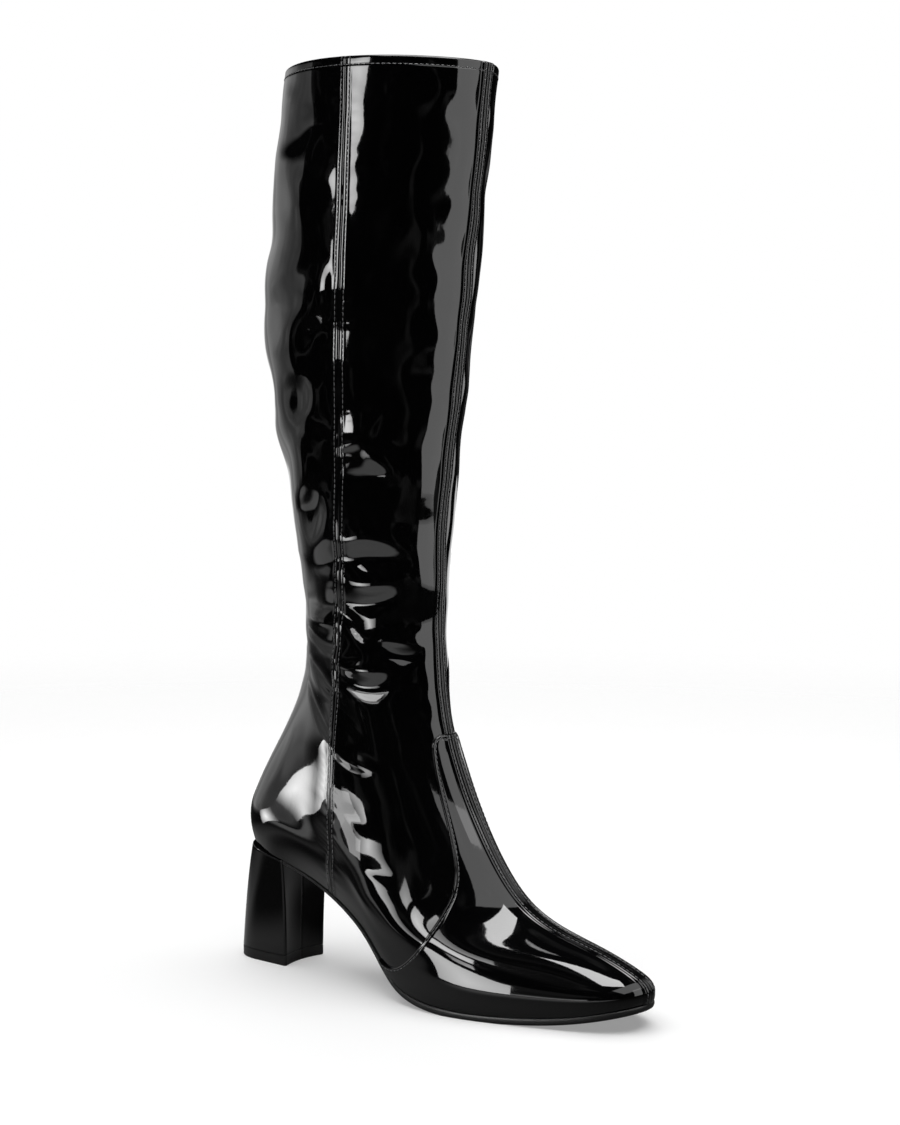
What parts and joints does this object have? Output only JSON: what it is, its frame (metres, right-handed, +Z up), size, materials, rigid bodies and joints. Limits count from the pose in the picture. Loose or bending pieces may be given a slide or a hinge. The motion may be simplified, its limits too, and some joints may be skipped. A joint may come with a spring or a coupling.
{
  "type": "block heel boot",
  "caption": "Knee-high patent boot for the right foot: almond toe, raised front seam, overlaid vamp, full-length inner zip with a hinged pull, thin sole and flared block heel.",
  "frame": {"origin": "on the floor under the middle of the heel, on the heel's tread", "axes": "+X from heel to toe, +Y to the inner side of the foot where the zip is, +Z up along the shaft"},
  "size_m": [0.2532, 0.1107, 0.471],
  "materials": {
    "upper": "black patent, mirror gloss",
    "vamp": "black patent, mirror gloss",
    "outsole": "satin black",
    "insole": "matt dark sock",
    "heel": "black patent cover on a moulded block",
    "heel_top_piece": "satin black",
    "zip_tape": "black woven tape and coil",
    "zip_slider": "gunmetal",
    "zip_pull": "gunmetal"
  },
  "bodies": {
    "boot": {"upper": "upper", "vamp": "vamp", "outsole": "outsole", "insole": "insole", "heel": "heel", "heel_top_piece": "heel_top_piece", "zip_tape": "zip_tape", "zip_slider": "zip_slider"},
    "zip_pull": {"zip_pull": "zip_pull"}
  },
  "joints": [
    {"name": "zip_pull_hinge", "type": "hinge", "parent": "boot", "child": "zip_pull", "pos_m": [0.07881, 0.06277, 0.4632], "axis": [0.9974, -0.0194, -0.0687], "range_deg": [0, 170]}
  ]
}
